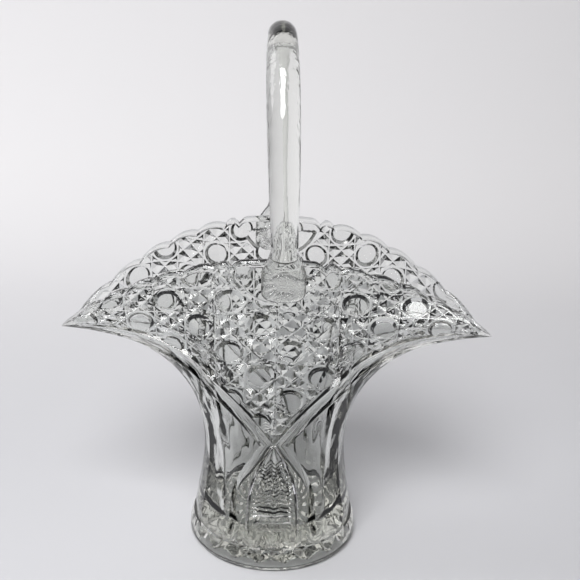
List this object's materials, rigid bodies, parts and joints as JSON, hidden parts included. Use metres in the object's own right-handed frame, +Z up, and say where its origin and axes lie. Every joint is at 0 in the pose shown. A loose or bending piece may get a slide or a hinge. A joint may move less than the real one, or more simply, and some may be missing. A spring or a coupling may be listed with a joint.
{
  "type": "glass basket",
  "caption": "Pressed glass basket with a boat-shaped lattice body, a round foot and a tall fused rod handle.",
  "frame": {"origin": "middle of the foot's resting plane, under the middle of the body", "axes": "+Z up out of the basket, +X along the wings, the front faces -Y, and the handle runs from front to back over the middle"},
  "size_m": [0.247, 0.1122, 0.3],
  "materials": {
    "glass": "polished"
  },
  "bodies": {
    "root": {"basket": "glass"}
  },
  "joints": []
}
